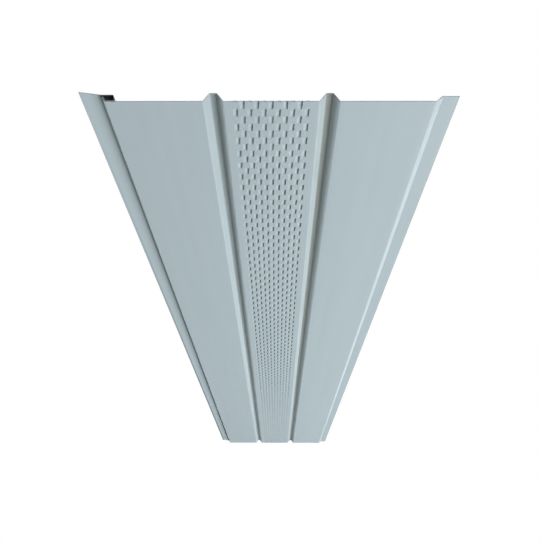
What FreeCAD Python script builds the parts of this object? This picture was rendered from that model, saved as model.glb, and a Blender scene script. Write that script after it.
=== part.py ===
import FreeCAD
import Part
import Sketcher
import math
import os

# Vented soffit panel: one strip of painted steel sheet, roll-formed into three boards with a groove
# between each two, a hemmed lock with a nailing flange on one side and a joining flange on the other.
# The middle board is pierced with staggered slots. As fixed under the eaves: +Z is up, the painted
# face looks down and lies on Z = 0, the panel runs along Y and the lock is on the -X side.

SIZES = {
    "panel_length": 2000.0,      # cut length along Y
    "gauge": 0.5,                # sheet thickness
    "bend_radius": 1.2,          # roll-formed bends, at mid-thickness
    "board_pitch": 101.6,        # one board and one groove, a third of the width a panel covers
    "groove_opening": 17.6,
    "groove_floor": 6.2,
    "groove_depth": 8.0,
    "lock_board": 85.2,          # board on the lock's side, groove to lip
    "flange_board": 83.4,        # board on the joining flange's side
    "step_run": 5.3,             # slanted step up to the joining flange
    "step_rise": 4.9,
    "joining_flange": 14.9,
    "lip_lean": 2.4,             # hemmed lip, leaning out over the neighbour's step
    "lip_rise": 3.8,
    "lip_radius": 1.4,
    "hem_gap": 0.3,              # air between the two layers of the hem
    "pocket_width": 8.9,         # lip to back wall, along the pocket's floor
    "pocket_lean": 1.8,          # the back wall's slant
    "pocket_height": 6.45,       # face to the underside of the pocket's ceiling
    "nail_bend": 3.8,            # lip to the bend where the nailing flange begins
    "nail_reach": 23.6,          # lip to the nailing flange's edge
    "nail_rise": 2.8,            # the nailing flange's slope, taken up when it is fixed
    "slot_width": 1.5,
    "slot_length": 18.8,
    "slot_pitch": 12.64,         # slots side by side in one row
    "row_pitch": 20.8,
    "long_row": 6.0,             # slots in every other row; the rows between have one less
}

doc = FreeCAD.newDocument("soffit_panel")
sheet = doc.addObject("Spreadsheet::Sheet", "dims")
for line, (alias, value) in enumerate(SIZES.items(), start=1):
    sheet.set(f"A{line}", alias)
    sheet.set(f"B{line}", str(value))
    sheet.setAlias(f"B{line}", alias)
doc.recompute()

panel = doc.addObject("PartDesign::Body", "soffit_panel")
panel.Label = "soffit_panel"
doc.recompute()


def origin_plane(body, role):
    """The body's own origin plane with this role."""
    return next(item for item in body.Origin.OriginFeatures if item.Role == role)


def new_sketch(body, name, role):
    """An empty sketch on one of the body's origin planes."""
    sketch = body.newObject("Sketcher::SketchObject", name)
    sketch.AttachmentSupport = [(origin_plane(body, role), "")]
    sketch.MapMode = "FlatFace"
    return sketch


def size(sketch, kind, *where, value, formula):
    """A dimension of the sketch, driven by the sheet."""
    index = sketch.addConstraint(Sketcher.Constraint(kind, *where, value))
    sketch.setExpression(f"Constraints[{index}]", formula)
    return index


# The bend line: the section at mid-thickness, from the joining flange's edge to the nailing flange's.
# Its corners are where the straight runs would meet; the bends round them off.
mid = SIZES["gauge"] / 2
ply = SIZES["gauge"] + SIZES["hem_gap"]
middle = (SIZES["lock_board"] + SIZES["nail_reach"] - SIZES["flange_board"] - SIZES["step_run"]
          - SIZES["joining_flange"]) / 2
half_pitch = SIZES["board_pitch"] / 2
half_opening = SIZES["groove_opening"] / 2
half_floor = SIZES["groove_floor"] / 2
lip_x = middle - half_pitch - half_opening - SIZES["lock_board"]
step_x = middle + half_pitch + half_opening + SIZES["flange_board"]
flange_z = SIZES["step_rise"] + mid
groove_z = SIZES["groove_depth"] + mid
ceiling_z = SIZES["pocket_height"] + mid
wall_x = lip_x + SIZES["pocket_width"]

outer_run = [
    FreeCAD.Vector(step_x + SIZES["step_run"] + SIZES["joining_flange"], flange_z, 0),
    FreeCAD.Vector(step_x + SIZES["step_run"], flange_z, 0),
    FreeCAD.Vector(step_x, mid, 0),
    FreeCAD.Vector(middle + half_pitch + half_opening, mid, 0),
    FreeCAD.Vector(middle + half_pitch + half_floor, groove_z, 0),
    FreeCAD.Vector(middle + half_pitch - half_floor, groove_z, 0),
    FreeCAD.Vector(middle + half_pitch - half_opening, mid, 0),
    FreeCAD.Vector(middle - half_pitch + half_opening, mid, 0),
    FreeCAD.Vector(middle - half_pitch + half_floor, groove_z, 0),
    FreeCAD.Vector(middle - half_pitch - half_floor, groove_z, 0),
    FreeCAD.Vector(middle - half_pitch - half_opening, mid, 0),
    FreeCAD.Vector(lip_x, mid, 0),
    FreeCAD.Vector(lip_x - SIZES["lip_lean"], mid + SIZES["lip_rise"], 0),
]
lip_along = (outer_run[-1] - outer_run[-2]).normalize()
lip_across = FreeCAD.Vector(lip_along.y, -lip_along.x, 0)
lip_turn = math.acos(-lip_along.x)
lip_radius = SIZES["lip_radius"]
fold_centre = outer_run[-2] + FreeCAD.Vector(lip_radius * math.tan(lip_turn / 2), lip_radius, 0)
inner_run = [
    outer_run[-1] + lip_across * ply,
    fold_centre + (outer_run[-2] - fold_centre) * ((lip_radius - ply) / lip_radius),
    FreeCAD.Vector(wall_x, mid + ply, 0),
    FreeCAD.Vector(wall_x - SIZES["pocket_lean"], ceiling_z, 0),
    FreeCAD.Vector(lip_x - SIZES["nail_bend"], ceiling_z, 0),
    FreeCAD.Vector(lip_x - SIZES["nail_reach"], ceiling_z + SIZES["nail_rise"], 0),
]


def bent_run(sketch, corners, radii):
    """Straight runs through the corners with a tangent bend at each inner one.

    A bend of radius r where the run turns by a takes r tan(a/2) off each side of its corner.
    Returns the runs, the bends and the corner points as geometry indices.
    """
    ends = [corners[0]]
    arcs = []
    lefts = []
    for before, corner, after, radius in zip(corners, corners[1:], corners[2:], radii):
        back = (before - corner).normalize()
        ahead = (after - corner).normalize()
        turn = math.pi - back.getAngle(ahead)
        cut = radius * math.tan(turn / 2)
        centre = corner + (back + ahead).normalize() * (radius / math.cos(turn / 2))
        left = ahead.cross(back).z > 0
        first = corner + back * cut
        last = corner + ahead * cut
        begin = (first if left else last) - centre
        angle = math.atan2(begin.y, begin.x)
        arcs.append(Part.ArcOfCircle(Part.Circle(centre, FreeCAD.Vector(0, 0, 1), radius), angle, angle + turn))
        lefts.append(left)
        ends += [first, last]
    ends.append(corners[-1])
    runs = [sketch.addGeometry(Part.LineSegment(ends[i], ends[i + 1])) for i in range(0, len(ends), 2)]
    bends = [sketch.addGeometry(arc) for arc in arcs]
    points = [sketch.addGeometry(Part.Point(corner)) for corner in corners[1:-1]]
    for place, (arc, point, left) in enumerate(zip(bends, points, lefts)):
        run, following = runs[place], runs[place + 1]
        sketch.addConstraint(Sketcher.Constraint("Tangent", run, 2, arc, 1 if left else 2))
        sketch.addConstraint(Sketcher.Constraint("Tangent", following, 1, arc, 2 if left else 1))
        sketch.addConstraint(Sketcher.Constraint("PointOnObject", point, 1, run))
        sketch.addConstraint(Sketcher.Constraint("PointOnObject", point, 1, following))
    return runs, bends, points


section = new_sketch(panel, "section", "XZ_Plane")
bend = SIZES["bend_radius"]
runs, bends, marks = bent_run(section, outer_run, [bend] * 10 + [lip_radius])
inner_runs, inner_bends, inner_marks = bent_run(
    section, inner_run, [lip_radius - ply] + [bend] * 3)
hem_centre = (outer_run[-1] + inner_run[0]) * 0.5
hem_angle = math.atan2(lip_across.y, lip_across.x)
hem = section.addGeometry(Part.ArcOfCircle(
    Part.Circle(hem_centre, FreeCAD.Vector(0, 0, 1), ply / 2), hem_angle, hem_angle + math.pi))

# The hem at the lip's tip folds the sheet back on itself; the bend under it shares the lip's centre.
section.addConstraint(Sketcher.Constraint("Tangent", runs[-1], 2, hem, 2))
section.addConstraint(Sketcher.Constraint("Tangent", inner_runs[0], 1, hem, 1))
section.addConstraint(Sketcher.Constraint("Symmetric", hem, 1, hem, 2, hem, 3))
section.addConstraint(Sketcher.Constraint("Coincident", bends[-1], 3, inner_bends[0], 3))
size(section, "Radius", hem, value=ply / 2, formula="(dims.gauge + dims.hem_gap) / 2")
size(section, "Radius", bends[-1], value=lip_radius, formula="dims.lip_radius")
for round_bend in bends[:-1] + inner_bends[1:]:
    size(section, "Radius", round_bend, value=bend, formula="dims.bend_radius")

flange, step, board_3, wall_d, floor_2, wall_c, board_2, wall_b, floor_1, wall_a, board_1, lip = runs
for level in (flange, board_3, floor_2, board_2, floor_1, board_1, inner_runs[1], inner_runs[3]):
    section.addConstraint(Sketcher.Constraint("Horizontal", level))

# Heights above the face.
size(section, "DistanceY", -1, 1, marks[5], 1, value=mid, formula="dims.gauge / 2")
section.addConstraint(Sketcher.Constraint("Horizontal", marks[5], 1, marks[2], 1))
section.addConstraint(Sketcher.Constraint("Horizontal", marks[6], 1, marks[9], 1))
size(section, "DistanceY", marks[2], 1, marks[3], 1, value=SIZES["groove_depth"], formula="dims.groove_depth")
section.addConstraint(Sketcher.Constraint("Horizontal", marks[3], 1, marks[7], 1))
size(section, "DistanceY", marks[1], 1, marks[0], 1, value=SIZES["step_rise"], formula="dims.step_rise")
size(section, "DistanceY", marks[10], 1, lip, 2, value=SIZES["lip_rise"], formula="dims.lip_rise")
size(section, "DistanceY", marks[10], 1, inner_marks[2], 1, value=SIZES["pocket_height"],
     formula="dims.pocket_height")
size(section, "DistanceY", inner_marks[3], 1, inner_runs[-1], 2, value=SIZES["nail_rise"],
     formula="dims.nail_rise")

# Widths, from the vented board outwards.
size(section, "DistanceX", -1, 1, marks[5], 1, value=middle + half_pitch - half_opening,
     formula="(dims.lock_board + dims.nail_reach - dims.flange_board - dims.step_run"
             " - dims.joining_flange + dims.board_pitch - dims.groove_opening) / 2")
size(section, "DistanceX", marks[6], 1, marks[5], 1, value=2 * (half_pitch - half_opening),
     formula="dims.board_pitch - dims.groove_opening")
for wide, near_floor, far_floor, far in ((5, 4, 3, 2), (9, 8, 7, 6)):
    size(section, "DistanceX", marks[wide], 1, marks[far], 1, value=2 * half_opening,
         formula="dims.groove_opening")
    size(section, "DistanceX", marks[near_floor], 1, marks[far_floor], 1, value=2 * half_floor,
         formula="dims.groove_floor")
    size(section, "DistanceX", marks[wide], 1, marks[near_floor], 1, value=half_opening - half_floor,
         formula="(dims.groove_opening - dims.groove_floor) / 2")
size(section, "DistanceX", marks[2], 1, marks[1], 1, value=SIZES["flange_board"], formula="dims.flange_board")
size(section, "DistanceX", marks[1], 1, marks[0], 1, value=SIZES["step_run"], formula="dims.step_run")
size(section, "DistanceX", marks[0], 1, flange, 1, value=SIZES["joining_flange"],
     formula="dims.joining_flange")
size(section, "DistanceX", marks[10], 1, marks[9], 1, value=SIZES["lock_board"], formula="dims.lock_board")
size(section, "DistanceX", lip, 2, marks[10], 1, value=SIZES["lip_lean"], formula="dims.lip_lean")
size(section, "DistanceX", marks[10], 1, inner_marks[1], 1, value=SIZES["pocket_width"],
     formula="dims.pocket_width")
size(section, "DistanceX", inner_marks[2], 1, inner_marks[1], 1, value=SIZES["pocket_lean"],
     formula="dims.pocket_lean")
size(section, "DistanceX", inner_marks[3], 1, marks[10], 1, value=SIZES["nail_bend"],
     formula="dims.nail_bend")
size(section, "DistanceX", inner_runs[-1], 2, marks[10], 1, value=SIZES["nail_reach"],
     formula="dims.nail_reach")
doc.recompute()

# The cut edge: sheet thickness by panel length, at the joining flange's edge.
cut_edge = new_sketch(panel, "cut_edge", "YZ_Plane")
cut_edge.setExpression(
    "AttachmentOffset.Base.z",
    "(dims.lock_board + dims.nail_reach + dims.flange_board + dims.step_run + dims.joining_flange"
    " + dims.board_pitch + dims.groove_opening) / 2")
half_length = SIZES["panel_length"] / 2
low = FreeCAD.Vector(-half_length, flange_z - mid, 0)
high = FreeCAD.Vector(half_length, flange_z + mid, 0)
loop = [low, FreeCAD.Vector(high.x, low.y, 0), high, FreeCAD.Vector(low.x, high.y, 0)]
sides = [cut_edge.addGeometry(Part.LineSegment(loop[i], loop[(i + 1) % 4])) for i in range(4)]
for i in range(4):
    cut_edge.addConstraint(Sketcher.Constraint("Coincident", sides[i], 2, sides[(i + 1) % 4], 1))
for i in (1, 3):
    cut_edge.addConstraint(Sketcher.Constraint("Vertical", sides[i]))
cut_edge.addConstraint(Sketcher.Constraint("Horizontal", sides[2]))
cut_edge.addConstraint(Sketcher.Constraint("Symmetric", sides[0], 1, sides[0], 2, -2))
size(cut_edge, "DistanceX", sides[0], 1, sides[0], 2, value=2 * half_length, formula="dims.panel_length")
size(cut_edge, "DistanceY", -1, 1, sides[0], 1, value=flange_z - mid, formula="dims.step_rise")
size(cut_edge, "DistanceY", sides[0], 2, sides[1], 2, value=2 * mid, formula="dims.gauge")
doc.recompute()

formed = panel.newObject("PartDesign::AdditivePipe", "formed_sheet")
formed.Profile = cut_edge
formed.Spine = (section, [f"Edge{i + 1}" for i in range(len(section.Shape.Edges))])
formed.Transition = "Transformed"
doc.recompute()


# The vent: a long row of slots and a short one between its slots, cut right through the middle board
# and repeated in pairs along the whole length.
pair_formula = "floor(dims.panel_length / (2 * dims.row_pitch))"
pairs = math.floor(SIZES["panel_length"] / (2 * SIZES["row_pitch"]))
slot_rows = new_sketch(panel, "slot_rows", "XY_Plane")
first = None
for row in (0, 1):
    count = int(SIZES["long_row"]) - row
    beside = None
    for place in range(count):
        left = middle + ((count - 1) / 2 - place) * SIZES["slot_pitch"] - SIZES["slot_width"] / 2
        base = (pairs - 0.5 - row) * SIZES["row_pitch"] - SIZES["slot_length"] / 2
        right = left + SIZES["slot_width"]
        top = base + SIZES["slot_length"]
        loop = [FreeCAD.Vector(x, y, 0) for x, y in ((left, base), (right, base), (right, top), (left, top))]
        slot = [slot_rows.addGeometry(Part.LineSegment(loop[i], loop[(i + 1) % 4])) for i in range(4)]
        for i in range(4):
            slot_rows.addConstraint(Sketcher.Constraint("Coincident", slot[i], 2, slot[(i + 1) % 4], 1))
        for i in (0, 2):
            slot_rows.addConstraint(Sketcher.Constraint("Horizontal", slot[i]))
            slot_rows.addConstraint(Sketcher.Constraint("Vertical", slot[i + 1]))
        if first is None:
            first = slot
            size(slot_rows, "DistanceX", slot[0], 1, slot[0], 2, value=SIZES["slot_width"],
                 formula="dims.slot_width")
            size(slot_rows, "DistanceY", slot[1], 1, slot[1], 2, value=SIZES["slot_length"],
                 formula="dims.slot_length")
            size(slot_rows, "DistanceX", -1, 1, slot[0], 1, value=left,
                 formula="(dims.lock_board + dims.nail_reach - dims.flange_board - dims.step_run"
                         " - dims.joining_flange + (dims.long_row - 1) * dims.slot_pitch"
                         " - dims.slot_width) / 2")
            size(slot_rows, "DistanceY", -1, 1, slot[0], 1, value=base,
                 formula=f"({pair_formula} - 0.5) * dims.row_pitch - dims.slot_length / 2")
        else:
            slot_rows.addConstraint(Sketcher.Constraint("Equal", first[0], slot[0]))
            slot_rows.addConstraint(Sketcher.Constraint("Equal", first[1], slot[1]))
        if beside is not None:
            slot_rows.addConstraint(Sketcher.Constraint("Horizontal", beside[0], 1, slot[0], 1))
            size(slot_rows, "DistanceX", slot[0], 1, beside[0], 1, value=SIZES["slot_pitch"],
                 formula="dims.slot_pitch")
        elif row:
            size(slot_rows, "DistanceX", slot[0], 1, first[0], 1, value=SIZES["slot_pitch"] / 2,
                 formula="dims.slot_pitch / 2")
            size(slot_rows, "DistanceY", slot[0], 1, first[0], 1, value=SIZES["row_pitch"],
                 formula="dims.row_pitch")
        beside = slot
doc.recompute()

two_rows = panel.newObject("PartDesign::Pocket", "two_rows")
two_rows.Profile = slot_rows
two_rows.Type = "ThroughAll"
two_rows.Midplane = True
doc.recompute()

vented = panel.newObject("PartDesign::LinearPattern", "vent_rows")
vented.Originals = [two_rows]
vented.Direction = (slot_rows, ["V_Axis"])
vented.Reversed = True
vented.Mode = "Spacing"
vented.setExpression("Offset", "2 * dims.row_pitch")
vented.setExpression("Occurrences", pair_formula)
panel.Tip = vented
doc.recompute()

for item in doc.Objects:
    if "Invalid" in item.State or "Error" in item.State:
        raise RuntimeError(f"{item.Name} did not build: {item.State}")
if not vented.Shape.isValid() or len(vented.Shape.Solids) != 1:
    raise RuntimeError("the panel is not one valid solid")
if vented.Shape.Volume >= formed.Shape.Volume:
    raise RuntimeError("the slots cut nothing")

os.makedirs("parts", exist_ok=True)
panel.Shape.exportStep(f"parts/{panel.Label}.step")
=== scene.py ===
"""A vented soffit panel seen from below: one painted sheet of three boards, two grooves and a louvred strip.
Lengths are metres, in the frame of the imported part: boards face down at Z = 0, +Y along the panel."""

import math

import bpy
import numpy as np
from mathutils import Matrix, Vector


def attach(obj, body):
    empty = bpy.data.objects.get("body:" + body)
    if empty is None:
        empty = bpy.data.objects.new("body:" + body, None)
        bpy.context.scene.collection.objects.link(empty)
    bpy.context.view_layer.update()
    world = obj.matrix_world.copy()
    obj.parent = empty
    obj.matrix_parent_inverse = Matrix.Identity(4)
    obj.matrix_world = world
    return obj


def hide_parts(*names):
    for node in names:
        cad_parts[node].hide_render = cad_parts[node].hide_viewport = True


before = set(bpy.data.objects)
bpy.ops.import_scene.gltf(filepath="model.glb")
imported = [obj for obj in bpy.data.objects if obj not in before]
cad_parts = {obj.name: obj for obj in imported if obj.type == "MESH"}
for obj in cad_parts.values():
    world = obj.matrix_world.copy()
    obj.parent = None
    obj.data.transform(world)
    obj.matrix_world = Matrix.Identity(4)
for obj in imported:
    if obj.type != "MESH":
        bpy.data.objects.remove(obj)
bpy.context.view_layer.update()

# The view: the panel hangs over the viewer's head, its near end at the top of the picture and its far
# end running down and away. The lens is a normal one, very nearly level from side to side.
eye = Vector((0.00694, -1.58318, -0.37645))
yaw, pitch, roll = -0.0085956, 0.361518, 0.0042253
ahead = Vector((math.sin(yaw) * math.cos(pitch), math.cos(yaw) * math.cos(pitch), math.sin(pitch)))
level = Vector((math.cos(yaw), -math.sin(yaw), 0.0))
above = level.cross(ahead)
side = level * math.cos(roll) + above * math.sin(roll)
top = above * math.cos(roll) - level * math.sin(roll)
sensor_width, focal_pixels, picture_pixels = 36.0, 784.15, 540.0

camera = bpy.data.objects.new("viewer", bpy.data.cameras.new("viewer"))
camera.data.sensor_width = sensor_width
camera.data.lens = sensor_width * focal_pixels / picture_pixels
camera.data.clip_start, camera.data.clip_end = 0.05, 150.0
camera.matrix_world = Matrix((side, top, -ahead)).transposed().to_4x4()
camera.location = eye
bpy.context.scene.collection.objects.link(camera)
bpy.context.scene.camera = camera

# The folded sheet: half-millimetre steel coil, painted on the face and primed on the back, roll-formed into
# boards, grooves, a stepped joining flange, and a hemmed lock pocket with a nailing flange behind it.
# The vent is lanced in the flat strip before folding: short cuts, each with one side pressed up into a hood.
gauge, bend = 0.0005, 0.0012
half = gauge / 2
length = 2.0
near_end, far_end = -length / 2, length / 2
board_pitch, vent_middle = 0.1016, 0.0026
groove_opening, groove_floor, groove_depth = 0.0176, 0.0062, 0.0080
joining_edge, step_top, step_foot, joining_level = 0.1658, 0.1509, 0.1456, 0.00515
lip_x, lip_lean, lip_rise, lip_bend = -0.1422, 0.0024, 0.0038, 0.0009
hem_turn, hem_foot_bend = 0.0004, 0.0006
pocket_width, pocket_lean, pocket_level = 0.0089, 0.0018, 0.0067
nail_bend, nail_reach, nail_level = 0.0038, 0.0236, 0.0095


def groove(middle):
    """The four corners of one groove, from its right mouth to its left, on the middle of the sheet."""
    x = middle + np.array([groove_opening, groove_floor, -groove_floor, -groove_opening]) / 2
    z = half + groove_depth * np.array([0.0, 1.0, 1.0, 0.0])
    return np.column_stack([x, z, np.full(4, bend)])


def lock(lip):
    """The corners of the lock: board end, lip, inner turn and foot of its hem, pocket floor and back, flange
    bend and flange edge. The hem comes down parallel to the lip, two turn radii inside it."""
    lean = np.array([-lip_lean, lip_rise])
    lean /= np.hypot(*lean)
    across = np.array([lean[1], -lean[0]])
    crest = np.array([lip - lip_lean, half + lip_rise]) + hem_turn * lean
    inner = crest + 2 * hem_turn * across
    pocket_floor = half + 2 * hem_turn
    foot = inner - lean * (inner[1] - pocket_floor) / lean[1]
    return np.array([
        [lip, half, lip_bend],
        [*crest, hem_turn],
        [*inner, hem_turn],
        [*foot, hem_foot_bend],
        [lip + pocket_width, pocket_floor, bend],
        [lip + pocket_width - pocket_lean, pocket_level, bend],
        [lip - nail_bend, pocket_level, bend],
        [lip - nail_reach, nail_level, 0.0],
    ])


def bent_line(corners, steps):
    """The sheet's middle line, its left-hand normals and the corner that each point belongs to: straight
    runs joined by tangent arcs. The arc of a corner of radius r that turns by t starts r tan(t/2) before it
    and has its points at equal angles."""
    p, r = corners[:, :2], corners[1:-1, 2]
    run = np.diff(p, axis=0)
    run /= np.linalg.norm(run, axis=1, keepdims=True)
    heading = np.unwrap(np.arctan2(run[:, 1], run[:, 0]))
    turn = np.diff(heading)
    start = p[1:-1] - (r * np.tan(np.abs(turn) / 2))[:, None] * run[:-1]
    left = np.column_stack([-run[:, 1], run[:, 0]])
    hub = start + (np.sign(turn) * r)[:, None] * left[:-1]
    angle = heading[:-1, None] + turn[:, None] * np.linspace(0.0, 1.0, steps)
    normal = np.stack([-np.sin(angle), np.cos(angle)], axis=-1)
    arc = hub[:, None] - (np.sign(turn) * r)[:, None, None] * normal
    line = np.vstack([p[:1], arc.reshape(-1, 2), p[-1:]])
    normal = np.vstack([left[:1], normal.reshape(-1, 2), left[-1:]])
    owner = np.repeat(np.arange(len(p)), [1] + [steps] * len(r) + [1])
    same_place = 1e-7
    apart = np.append(True, np.linalg.norm(np.diff(line, axis=0), axis=1) > same_place)
    return line[apart], normal[apart], owner[apart]


def grid_faces(rows, columns):
    """The quads of a grid whose points run column by column within each row."""
    a = (np.arange(rows - 1)[:, None] * columns + np.arange(columns - 1)).ravel()
    return np.column_stack([a, a + 1, a + columns + 1, a + columns])


def swept(line, normal, offset, stations):
    """The line set off by a distance along its normals and carried along Y: points and normals, station by
    station."""
    x, z = (line + offset * normal).T
    y = stations[:, None]
    points = np.stack(np.broadcast_arrays(x, y, z), axis=-1)
    facing = np.stack(np.broadcast_arrays(normal[:, 0], 0.0 * y, normal[:, 1]), axis=-1)
    return points.reshape(-1, 3), facing.reshape(-1, 3) * np.sign(offset)


# The section runs from the joining flange to the nailing flange. The vent strip is left open in it, and the
# nailing flange has four more points, between which its painted shade starts and stops.
column_pitch, row_pitch, stagger, columns = 0.00632, 0.01221, 0.01171, 11
slot_reach, first_row, vent_x = 0.0071, -0.9940, 0.0036
cell_left = -0.0043
cell_right = cell_left + column_pitch
strip_left = vent_x - (columns - 1) / 2 * column_pitch + cell_left
strip_right = strip_left + columns * column_pitch
corners = np.vstack([
    [[joining_edge, joining_level, 0.0], [step_top, joining_level, bend], [step_foot, half, bend]],
    groove(vent_middle + board_pitch / 2),
    groove(vent_middle - board_pitch / 2),
    lock(lip_x),
])
arc_steps, station_count, mouth_fade = 8, 41, 0.015
along_flange = np.array([0.08, 0.13, 0.83, 0.86])
line, normal, owner = bent_line(corners, arc_steps)
line = np.insert(line, -1, line[-2] + along_flange[:, None] * (line[-1] - line[-2]), axis=0)
normal = np.insert(normal, -1, np.tile(normal[-1], (len(along_flange), 1)), axis=0)
owner = np.append(owner, np.full(len(along_flange), owner[-1]))
cut = int(np.flatnonzero(line[:, 0] > vent_middle)[-1]) + 1
line = np.insert(line, cut, [[strip_right, half], [strip_left, half]], axis=0)
normal = np.insert(normal, cut, [[0.0, -1.0], [0.0, -1.0]], axis=0)
owner = np.insert(owner, cut, [owner[cut], owner[cut]])
stations = np.insert(np.linspace(near_end, far_end, station_count), 1, near_end + mouth_fade)
wide = len(line)
rung = np.delete(np.arange(wide - 1), cut)
plain = grid_faces(len(stations), wide).reshape(-1, wide - 1, 4)[:, rung].reshape(-1, 4)


def along_panel(near, far):
    """A value for each station, changing evenly from the near end to the far end."""
    return near + (far - near) * (stations - near_end) / length


# Painted shade blackens the lock pocket, thins out round the flange bend and shows most at the open near
# end.
# Towards the far end a painted dark line also edges the flange.
hem_inside, flange_bend = len(corners) - 6, len(corners) - 2
flange_inner, flange_outer = wide - 1 - len(along_flange), wide - 2
flange_bend_painted_shade = np.where(stations < near_end + mouth_fade, 1.0, along_panel(0.55, 0.95))
lock_painted_shade = np.zeros((len(stations), wide))
lock_painted_shade[:, (owner >= hem_inside) & (owner < flange_bend)] = 1.0
lock_painted_shade[:, owner == flange_bend] = flange_bend_painted_shade[:, None]
lock_painted_shade[:, flange_inner] = along_panel(0.15, 0.95)
lock_painted_shade[:, flange_outer:] = along_panel(0.0, 0.9)[:, None]
lock_painted_shade = lock_painted_shade.ravel()

# Grey painted shade lies in the grooves, deepest in the corner at the right of each floor, where the shade
# falls. Each corner has one value on the side of the floor or the board and one on the side of the slanted
# wall.
step_unshaded, lock_unshaded = [0.0] * 3, [0.0] * 8
wall_slope = 0.6
flatness = np.clip((np.abs(normal[:, 1]) - wall_slope) / (1.0 - wall_slope), 0.0, 1.0)
floor_shade = np.array(step_unshaded + [0.0, 0.90, 0.65, 0.0] + [0.0, 0.60, 0.05, 0.0] + lock_unshaded)[owner]
wall_shade = np.array(step_unshaded + [0.0, 0.60, 0.20, 0.20] + [0.05, 0.45, 0.10, 0.20] + lock_unshaded)[owner]
groove_shade = wall_shade + (floor_shade - wall_shade) * flatness


def edge_strip(first, second, facing):
    """Quads between two equal rows of points, all facing one way."""
    points = np.vstack([first, second])
    return points, np.broadcast_to(facing, points.shape), grid_faces(2, len(first))


# Each part of the mesh is points, normals, faces, finish and painted shade: the face and the back of the
# sheet, then its raw ends and its raw long edges.
face_side, back_side, raw_side = 0, 1, 2
meshes = []
for offset, turned, finish in ((half, 1, face_side), (-half, -1, back_side)):
    points, facing = swept(line, normal, offset, stations)
    meshes.append((points, facing, plain[:, ::turned], finish, lock_painted_shade))
for end, turned in ((-1.0, -1), (1.0, 1)):
    y = np.full(wide, end * length / 2)
    ring = [np.insert(line + offset * normal, 1, y, axis=1) for offset in (half, -half)]
    points, facing, faces = edge_strip(*ring, (0.0, end, 0.0))
    meshes.append((points, facing, faces[rung][:, ::turned], raw_side, np.zeros(len(points))))
for at, turned in ((0, 1), (-1, -1)):
    away = np.array([-normal[at, 1], 0.0, normal[at, 0]]) * turned
    brinks = [np.tile(line[at] + offset * normal[at], (len(stations), 1)) for offset in (half, -half)]
    points, facing, faces = edge_strip(*[np.insert(brink, 1, stations, axis=1) for brink in brinks], away)
    meshes.append((points, facing, faces[:, ::turned], raw_side, np.zeros(len(points))))

# The louvres: each cut leans a little, rises to a hood on its left and sags on its right. Across the slot
# the hood climbs to its roof, takes painted shade just past it and ends at the mouth.
hood, sag = 0.00072, 0.00030
roof, mouth, skew, taper = -0.0009, 0.0008, -0.045, 0.0027
roof_unshaded, roof_shaded = -0.0012, -0.0007
# The painted shade under the hoods grows from the near end and fades out beyond the middle.
shade_start, shade_growth = 0.3, 1.1
shade_end, shade_fade = 0.5, 0.62
lift = np.array([0.0, 0.0, gauge])


def ease(t):
    """A smooth step and its slope: 3t^2 - 2t^3 between 0 and 1."""
    t = np.clip(t, 0.0, 1.0)
    return t * t * (3.0 - 2.0 * t), 6.0 * t * (1.0 - t)


def pressed(x, y, height, low, high):
    """The height of a pressed side and its face normals: a smooth ramp across it, from low to high, times a
    smooth ramp in from each end of the cut."""
    a, da = ease((x - low) / (high - low))
    b, db = ease((slot_reach - np.abs(y)) / taper)
    slope_x = height * da * b / (high - low)
    slope_y = -height * a * db * np.sign(y) / taper
    tilt = np.column_stack([slope_x, slope_y, -np.ones_like(x)])
    return height * a * b, tilt / np.linalg.norm(tilt, axis=1, keepdims=True)


def pressed_side(across, slanted, along, height, low, high):
    """A grid of one side of the cut: lines across the slot, the slanted ones following the cut's skew."""
    x, y = (g.ravel() for g in np.meshgrid(across, along))
    z, tilt = pressed(x, y, height, low, high)
    points = np.column_stack([x + skew * y * np.tile(slanted, len(along)), y, z])
    return points, tilt, grid_faces(len(along), len(across))


def louvre(along):
    """One lanced slot: the side pressed up into a hood, the side that sags a little, the back of both, and
    the raw edges of the cut. A slot cut through by the end of the sheet has raw ends as well."""
    rows = len(along)
    across = [cell_left, (cell_left + roof) / 2, roof_unshaded, roof_shaded, mouth]
    right = [mouth, cell_right]
    face, tilt, face_grid = pressed_side(across, [0, 0, 1, 1, 1], along, hood, cell_left, roof)
    back, lean, back_grid = pressed_side([cell_left, roof, mouth], [0, 1, 1], along, hood, cell_left, roof)
    sill, down, sill_grid = pressed_side(right, [1, 0], along, -sag, cell_right, mouth)
    rim, level_rim, rim_grid = pressed_side(right, [1, 0], along[[0, -1]], 0.0, cell_right, mouth)
    # Painted shade under the hood roof, fading where the hood closes at each end of the cut.
    openness = pressed(np.full(len(face), mouth), face[:, 1], 1.0, cell_left, roof)[0]
    shade_amount = np.tile([0.0, 0.0, 0.0, 1.0, 1.0], rows) * openness
    lap, lip = back[2::3], sill[::2]
    cell = [
        (face, tilt, face_grid[:, ::-1], face_side, shade_amount),
        (sill, down, sill_grid[:, ::-1], face_side, np.zeros(len(sill))),
        (back + lift, -lean, back_grid, back_side, np.zeros(len(back))),
        (rim + lift, -level_rim, rim_grid, back_side, np.zeros(len(rim))),
        (*edge_strip(lap, lap + lift, (1.0, 0.0, 0.0)), raw_side, np.zeros(2 * rows)),
        (*edge_strip(lip * (1, 1, 0) + lift, lip, (-1.0, 0.0, 0.0)), raw_side, np.zeros(2 * rows)),
    ]
    if face[: len(across), 2].any():
        for row in (face[: len(across)], sill[:2]):
            cell.append((*edge_strip(row, row + lift, (0.0, -1.0, 0.0)), raw_side, np.zeros(2 * len(row))))
    return cell


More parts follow.
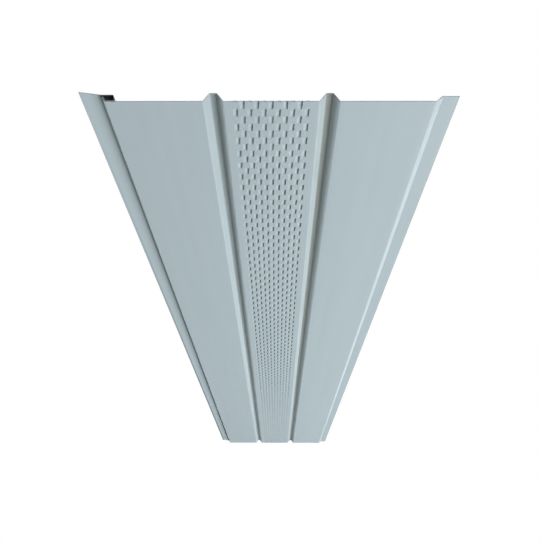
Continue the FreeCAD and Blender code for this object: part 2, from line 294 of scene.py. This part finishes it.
def land(near, far):
    """The plain sheet between two slots of a column, face and back, and its raw end at the panel's end."""
    u, v = (g.ravel() for g in np.meshgrid([cell_left, cell_right], [near, far]))
    flat = np.column_stack([u, v, 0.0 * u])
    up = np.broadcast_to((0.0, 0.0, 1.0), flat.shape)
    unshaded = np.zeros(len(flat))
    cell = [
        (flat, -up, grid_faces(2, 2)[:, ::-1], face_side, unshaded),
        (flat + lift, up, grid_faces(2, 2), back_side, unshaded),
    ]
    if far == 0.0:
        cell.append((*edge_strip(flat[2:] + lift, flat[2:], (0.0, 1.0, 0.0)), raw_side, unshaded))
    return cell


def repeated(cell, places):
    """A cell's points, normals, faces and painted shade copied to each place. The painted shade grows over
    the first part of the panel and fades out beyond the middle."""
    points, facing, faces, finish, shade_amount = cell
    y = places[:, 1:2]
    grown = np.clip(shade_start + shade_growth * (y - near_end), 0.0, 1.0)
    left_over = np.clip((shade_end - y) / shade_fade, 0.0, 1.0)
    spread = (places[:, None] + points).reshape(-1, 3)
    shift = len(points) * np.arange(len(places))[:, None, None]
    turned = np.tile(facing, (len(places), 1))
    return spread, turned, (shift + faces).reshape(-1, 4), finish, (grown * left_over * shade_amount).ravel()


ends = slot_reach * np.array([-1.0, -1.0, -1.0, 1.0, 1.0, 1.0])
along = ends + taper * np.array([0.0, 0.5, 1.0, -1.0, -0.5, 0.0])
gap = row_pitch - slot_reach
for odd in (0, 1):
    x = vent_x + (np.arange(1 - odd, columns, 2) - (columns - 1) / 2) * column_pitch
    start = first_row - odd * stagger
    y = start + 2 * row_pitch * np.arange(int((far_end - slot_reach - start) / (2 * row_pitch)) + 1)
    places = np.column_stack([np.tile(x, len(y)), np.repeat(y, len(x)), np.zeros(len(x) * len(y))])
    first, rest = places[: len(x)], places[len(x):]
    sheared = near_end - start
    laid = [
        (louvre(np.append(sheared, along[along > sheared])), first),
        (louvre(along), rest),
        (land(-gap, gap), rest - (0.0, row_pitch, 0.0)),
        (land(y[-1] + slot_reach - far_end, 0.0), first + (0.0, far_end - start, 0.0)),
    ]
    meshes.extend(repeated(cell, spots) for cells, spots in laid for cell in cells)

points = np.vstack([m[0] for m in meshes])
facing = np.vstack([m[1] for m in meshes])
offsets = np.cumsum([0] + [len(m[0]) for m in meshes[:-1]])
faces = np.vstack([m[2] + o for m, o in zip(meshes, offsets)])
finishes = np.repeat([m[3] for m in meshes], [len(m[2]) for m in meshes])
# The near-black painted shade of every point, in the lock and under the hoods, then the grey painted shade
# of the groove corners on the swept face.
painted_shade_values = np.concatenate([m[4] for m in meshes])
groove_shade_values = np.zeros(len(points))
groove_shade_values[: wide * len(stations)] = np.tile(groove_shade, len(stations))

sheet = bpy.data.meshes.new("vented_sheet")
sheet.from_pydata(points, [], faces)
sheet.polygons.foreach_set("material_index", finishes.astype(np.int32))
sheet.polygons.foreach_set("use_smooth", np.ones(len(faces), bool))
sheet.update()
sheet.normals_split_custom_set_from_vertices(facing)
# Both kinds of painted shade are held on the mesh for the face paint.
sheet.attributes.new("painted_recess_shade", "FLOAT", "POINT").data.foreach_set("value", painted_shade_values)
sheet.attributes.new("groove_painted_shade", "FLOAT", "POINT").data.foreach_set("value", groove_shade_values)
panel = bpy.data.objects.new("vented_sheet", sheet)
bpy.context.scene.collection.objects.link(panel)


def finish_nodes(name):
    """A new material with its nodes, its links, its shader and its position input."""
    material = bpy.data.materials.new(name)
    material.use_nodes = True
    nodes = material.node_tree.nodes
    place = nodes.new("ShaderNodeTexCoord").outputs["Object"]
    return material, nodes, material.node_tree.links, nodes["Principled BSDF"], place


def cloud(nodes, links, place, stretch, detail, low, high):
    """Noise between two values at a given fineness along X, Y and Z, in cells per metre."""
    fit = nodes.new("ShaderNodeMapping")
    fit.inputs["Scale"].default_value = stretch
    noise = nodes.new("ShaderNodeTexNoise")
    noise.inputs["Scale"].default_value = 1.0
    noise.inputs["Detail"].default_value = detail
    spread = nodes.new("ShaderNodeMapRange")
    spread.inputs["From Min"].default_value = 0.3
    spread.inputs["From Max"].default_value = 0.7
    spread.inputs["To Min"].default_value = low
    spread.inputs["To Max"].default_value = high
    links.new(place, fit.inputs["Vector"])
    links.new(fit.outputs["Vector"], noise.inputs["Vector"])
    links.new(noise.outputs["Fac"], spread.inputs["Value"])
    return spread.outputs["Result"]


def blended(nodes, links, amount, first, second):
    """A colour between two, by an amount from 0 to 1. Each colour is a value or another node's output."""
    mix = nodes.new("ShaderNodeMix")
    mix.data_type = "RGBA"
    links.new(amount, mix.inputs["Factor"])
    for socket, colour in ((mix.inputs["A"], first), (mix.inputs["B"], second)):
        if isinstance(colour, tuple):
            socket.default_value = colour
        else:
            links.new(colour, socket)
    return mix.outputs["Result"]


def dented(nodes, links, heights, base=None):
    """A bump from heights in metres, over another bump if there is one."""
    bump = nodes.new("ShaderNodeBump")
    bump.inputs["Distance"].default_value = 1.0
    links.new(heights, bump.inputs["Height"])
    if base is not None:
        links.new(base, bump.inputs["Normal"])
    return bump.outputs["Normal"]


def point_value(nodes, name):
    """The output of a value that the mesh holds for each point."""
    reader = nodes.new("ShaderNodeAttribute")
    reader.attribute_name = name
    return reader.outputs["Fac"]


# Face: satin polyester coil coat, pale grey-blue, rolled on along the strip, so its tone runs lengthways.
# Painted shade lies over it, grey in the groove corners and near black in the lock and under the hoods, and
# the lanced strip is a little rippled between its slots.
face_paint, nodes, links, shader, place = finish_nodes("coil_coat_face")
tone = cloud(nodes, links, place, (55.0, 1.4, 55.0), 4.0, 0.0, 1.0)
paint = blended(nodes, links, tone, (0.364, 0.442, 0.4715, 1.0), (0.382, 0.462, 0.491, 1.0))
# Grey painted shade in the groove corners.
paint = blended(nodes, links, point_value(nodes, "groove_painted_shade"), paint, (0.275, 0.295, 0.265, 1.0))
# Near-black painted shade in the lock pocket, along the flange and under the hoods; the paint is less glossy
# there too.
painted_recess_shade = point_value(nodes, "painted_recess_shade")
paint = blended(nodes, links, painted_recess_shade, paint, (0.03, 0.038, 0.042, 1.0))
links.new(paint, shader.inputs["Base Color"])
sheen = cloud(nodes, links, place, (30.0, 9.0, 30.0), 3.0, 0.42, 0.50)
links.new(sheen, shader.inputs["Roughness"])
peel = cloud(nodes, links, place, (800.0, 650.0, 800.0), 2.0, -2.0e-6, 2.0e-6)
skin = dented(nodes, links, peel)
ripple = cloud(nodes, links, place, (260.0, 200.0, 260.0), 2.0, -1.0e-4, 1.0e-4)
position = nodes.new("ShaderNodeSeparateXYZ")
links.new(place, position.inputs["Vector"])
off_middle = nodes.new("ShaderNodeMath")
off_middle.operation = "SUBTRACT"
off_middle.inputs[1].default_value = vent_x
links.new(position.outputs["X"], off_middle.inputs[0])
from_middle = nodes.new("ShaderNodeMath")
from_middle.operation = "ABSOLUTE"
links.new(off_middle.outputs[0], from_middle.inputs[0])
half_strip, ripple_start, ripple_end = (strip_right - strip_left) / 2, 0.001, 0.002
near_vent = nodes.new("ShaderNodeMapRange")
near_vent.inputs["From Min"].default_value = half_strip - ripple_start
near_vent.inputs["From Max"].default_value = half_strip + ripple_end
near_vent.inputs["To Min"].default_value = 1.0
near_vent.inputs["To Max"].default_value = 0.0
links.new(from_middle.outputs[0], near_vent.inputs["Value"])
lanced = nodes.new("ShaderNodeMath")
lanced.operation = "MULTIPLY"
links.new(ripple, lanced.inputs[0])
links.new(near_vent.outputs["Result"], lanced.inputs[1])
links.new(dented(nodes, links, lanced.outputs[0], skin), shader.inputs["Normal"])
gloss = nodes.new("ShaderNodeMapRange")
gloss.inputs["From Max"].default_value = 0.2
gloss.inputs["To Min"].default_value = 0.45
gloss.inputs["To Max"].default_value = 0.05
links.new(painted_recess_shade, gloss.inputs["Value"])
links.new(gloss.outputs["Result"], shader.inputs["Specular IOR Level"])

# Back: thin warm-grey primer, duller than the face, with long streaks from the coating rolls.
back_coat, nodes, links, shader, place = finish_nodes("primer_back")
streak = cloud(nodes, links, place, (140.0, 1.1, 140.0), 5.0, 0.0, 1.0)
primer = blended(nodes, links, streak, (0.47, 0.465, 0.44, 1.0), (0.53, 0.525, 0.50, 1.0))
links.new(primer, shader.inputs["Base Color"])
dullness = cloud(nodes, links, place, (60.0, 12.0, 60.0), 3.0, 0.48, 0.60)
links.new(dullness, shader.inputs["Roughness"])
roller_marks = cloud(nodes, links, place, (900.0, 300.0, 900.0), 2.0, -2.0e-6, 2.0e-6)
links.new(dented(nodes, links, roller_marks), shader.inputs["Normal"])

# Raw edges: sheared steel with its thin zinc skin, dull and slightly uneven.
raw_edge, nodes, links, shader, place = finish_nodes("cut_steel")
grain = cloud(nodes, links, place, (500.0, 500.0, 2500.0), 3.0, 0.0, 1.0)
steel = blended(nodes, links, grain, (0.36, 0.38, 0.39, 1.0), (0.48, 0.50, 0.51, 1.0))
links.new(steel, shader.inputs["Base Color"])
tear = cloud(nodes, links, place, (700.0, 700.0, 700.0), 2.0, 0.40, 0.58)
links.new(tear, shader.inputs["Roughness"])
shader.inputs["Metallic"].default_value = 0.35

for finish in (face_paint, back_coat, raw_edge):
    sheet.materials.append(finish)
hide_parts("soffit_panel")
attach(panel, "root")

# The floor: a plain pale studio floor well below the panel, which hangs at ceiling height. It glows a
# little, so that it stays pale out to its edge, and sends no light back up to the panel.
floor_radius, floor_level, floor_sides = 40.0, -2.4, 96
around = np.linspace(0.0, 2 * np.pi, floor_sides, endpoint=False)
circle = floor_radius * np.stack([np.cos(around), np.sin(around)], axis=1)
floor_mesh = bpy.data.meshes.new("studio_floor")
floor_mesh.from_pydata(np.insert(circle, 2, floor_level, axis=1).tolist(), [], [list(range(floor_sides))])
floor = bpy.data.objects.new("studio_floor", floor_mesh)
bpy.context.scene.collection.objects.link(floor)
floor_paint = bpy.data.materials.new("pale_floor")
floor_paint.use_nodes = True
shader = floor_paint.node_tree.nodes["Principled BSDF"]
shader.inputs["Base Color"].default_value = (0.30, 0.30, 0.295, 1.0)
shader.inputs["Roughness"].default_value = 0.9
shader.inputs["Emission Color"].default_value = (0.78, 0.78, 0.77, 1.0)
shader.inputs["Emission Strength"].default_value = 0.85
floor_mesh.materials.append(floor_paint)
floor.visible_diffuse = floor.visible_glossy = floor.visible_shadow = False


# The light: a long soft strip on the right, which rakes across the grooves, a weaker one low on the left, a
# narrow one close to the lock, and a wide soft panel overhead for the back of the sheet. The room is a pale
# one that is dim around the panel, with a cooler band low down at the far end.
def soft_light(name, place, aim, width, height, watts, colour, fan=180.0):
    """A rectangular lamp at a place, turned to a point, its long side along Y, its beam fanning out by some
    degrees."""
    lamp = bpy.data.lights.new(name, "AREA")
    lamp.shape, lamp.size, lamp.size_y, lamp.energy = "RECTANGLE", width, height, watts
    lamp.color, lamp.spread = colour, math.radians(fan)
    holder = bpy.data.objects.new(name, lamp)
    back = (Vector(place) - Vector(aim)).normalized()
    long_way = Vector((0.0, 1.0, 0.0))
    long_way = (long_way - back * long_way.dot(back)).normalized()
    holder.matrix_world = Matrix((long_way.cross(back), long_way, back)).transposed().to_4x4()
    holder.location = place
    holder.visible_camera = False
    bpy.context.scene.collection.objects.link(holder)


white, cool_white = (1.0, 1.0, 1.0), (0.94, 1.0, 1.01)
soft_light("side_strip", (1.687, 0.5, -1.396), (0.0, 0.5, 0.0), 0.95, 5.0, 110.0, white)
soft_light("low_strip", (-1.57, 0.5, -0.26), (0.0, 0.5, 0.0), 0.42, 5.0, 21.3, white)
soft_light("edge_strip", (-0.286, 0.0, -0.067), (-0.156, 0.0, 0.008), 0.012, 2.2, 0.0245, cool_white, 12.0)
soft_light("overhead", (-0.6, -0.8, 2.6), (0.0, 0.0, 0.0), 3.0, 3.0, 85.0, white)


def ramp(nodes, links, value, start, stop):
    """A value's climb from 0 to 1 between two limits. Here the value is one part of a unit direction."""
    climb = nodes.new("ShaderNodeMapRange")
    climb.inputs["From Min"].default_value = start
    climb.inputs["From Max"].default_value = stop
    links.new(value, climb.inputs["Value"])
    return climb.outputs["Result"]


world = bpy.data.worlds.new("pale_room")
bpy.context.scene.world = world
world.use_nodes = True
nodes, links = world.node_tree.nodes, world.node_tree.links
room = nodes["Background"]
room.inputs["Strength"].default_value = 1.0
direction = nodes.new("ShaderNodeTexCoord")
heading = nodes.new("ShaderNodeSeparateXYZ")
links.new(direction.outputs["Generated"], heading.inputs["Vector"])
band = nodes.new("ShaderNodeMath")
band.operation = "MULTIPLY"
links.new(ramp(nodes, links, heading.outputs["Z"], -0.45, -0.02), band.inputs[0])
links.new(ramp(nodes, links, heading.outputs["Y"], 0.45, 0.85), band.inputs[1])
overhead = ramp(nodes, links, heading.outputs["Z"], -0.02, 0.02)
under = blended(nodes, links, band.outputs[0], (0.30, 0.30, 0.30, 1.0), (0.05, 0.10, 0.16, 1.0))
links.new(blended(nodes, links, overhead, under, (0.10, 0.10, 0.10, 1.0)), room.inputs["Color"])
backdrop = nodes.new("ShaderNodeBackground")
backdrop.inputs["Color"].default_value = (1.0, 1.0, 1.0, 1.0)
backdrop.inputs["Strength"].default_value = 1.0
ray = nodes.new("ShaderNodeLightPath")
seen = nodes.new("ShaderNodeMixShader")
links.new(ray.outputs["Is Camera Ray"], seen.inputs["Fac"])
links.new(room.outputs["Background"], seen.inputs[1])
links.new(backdrop.outputs["Background"], seen.inputs[2])
links.new(seen.outputs["Shader"], nodes["World Output"].inputs["Surface"])
bpy.context.scene.view_settings.view_transform = "Standard"
